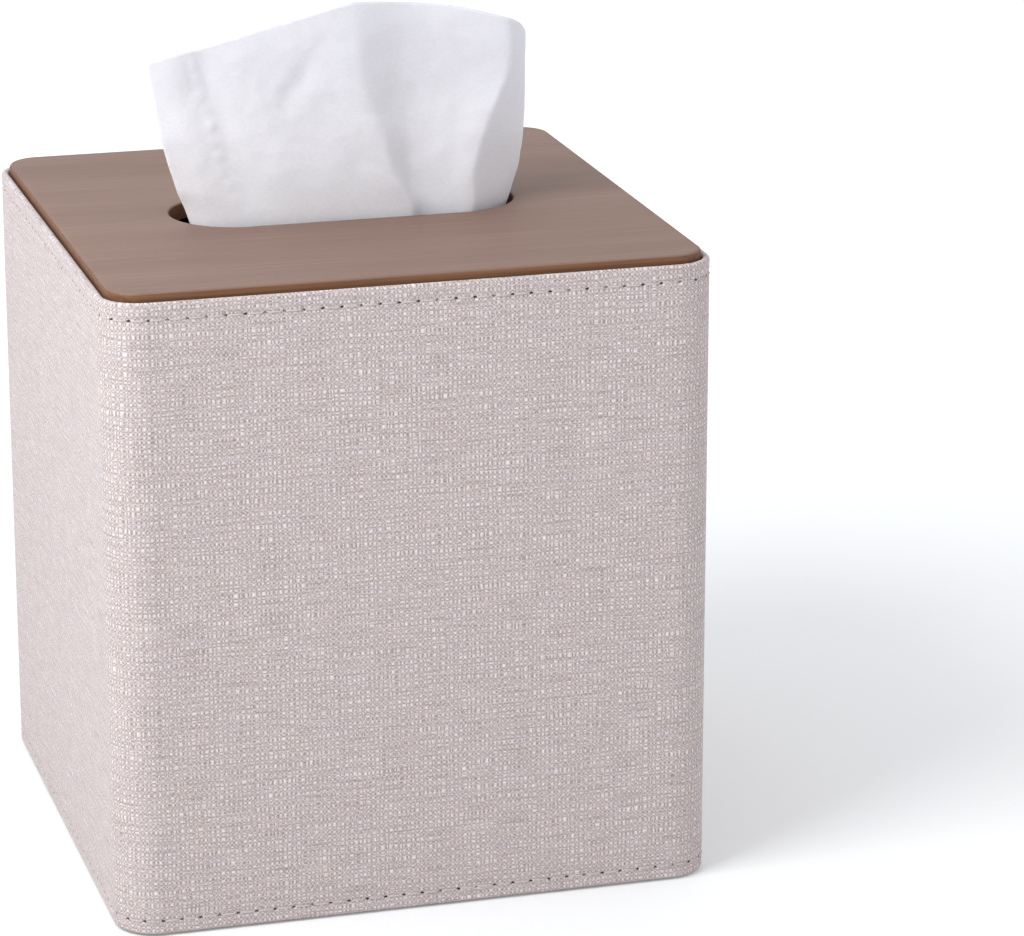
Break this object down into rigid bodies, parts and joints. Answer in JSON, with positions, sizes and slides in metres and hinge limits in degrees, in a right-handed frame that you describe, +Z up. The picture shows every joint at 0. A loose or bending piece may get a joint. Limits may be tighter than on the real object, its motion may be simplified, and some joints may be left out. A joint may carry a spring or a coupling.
{
  "type": "tissue box cover",
  "caption": "Square leather-covered tissue box with stitched hems, a drop-in wooden lid that lifts off, and a tissue standing in its long round-ended slot.",
  "frame": {"origin": "on the table, under the middle of the cover", "axes": "+Z up, -Y towards the front, +X to the right as seen from the front, along the slot"},
  "size_m": [0.135, 0.135, 0.1925],
  "materials": {
    "leather": "matte linen-look grain",
    "foam": "soft interlining",
    "board": "raw fibreboard",
    "post": "planed softwood",
    "felt": "short felt",
    "underside": "non-slip flocked sheet",
    "lid_wood": "matte walnut",
    "tissue": "soft white tissue"
  },
  "bodies": {
    "case": {"leather_sleeve": "leather", "foam_wrap": "foam", "base_board": "board", "underside_sheet": "underside", "base_lining": "felt", "corner_post_front_left": "post", "corner_post_front_right": "post", "corner_post_back_left": "post", "corner_post_back_right": "post", "front_board": "board", "back_board": "board", "left_board": "board", "right_board": "board", "front_lining": "felt", "back_lining": "felt", "left_lining": "felt", "right_lining": "felt"},
    "lid": {"lid_board": "lid_wood"},
    "tissue": {"tissue_sheet": "tissue"}
  },
  "joints": [
    {"name": "lid_lift", "type": "slide", "parent": "case", "child": "lid", "axis": [0, 0, 1], "range_m": [0, 0.12]},
    {"name": "tissue_pull", "type": "slide", "parent": "lid", "child": "tissue", "axis": [0, 0, 1], "range_m": [0, 0.09]}
  ]
}
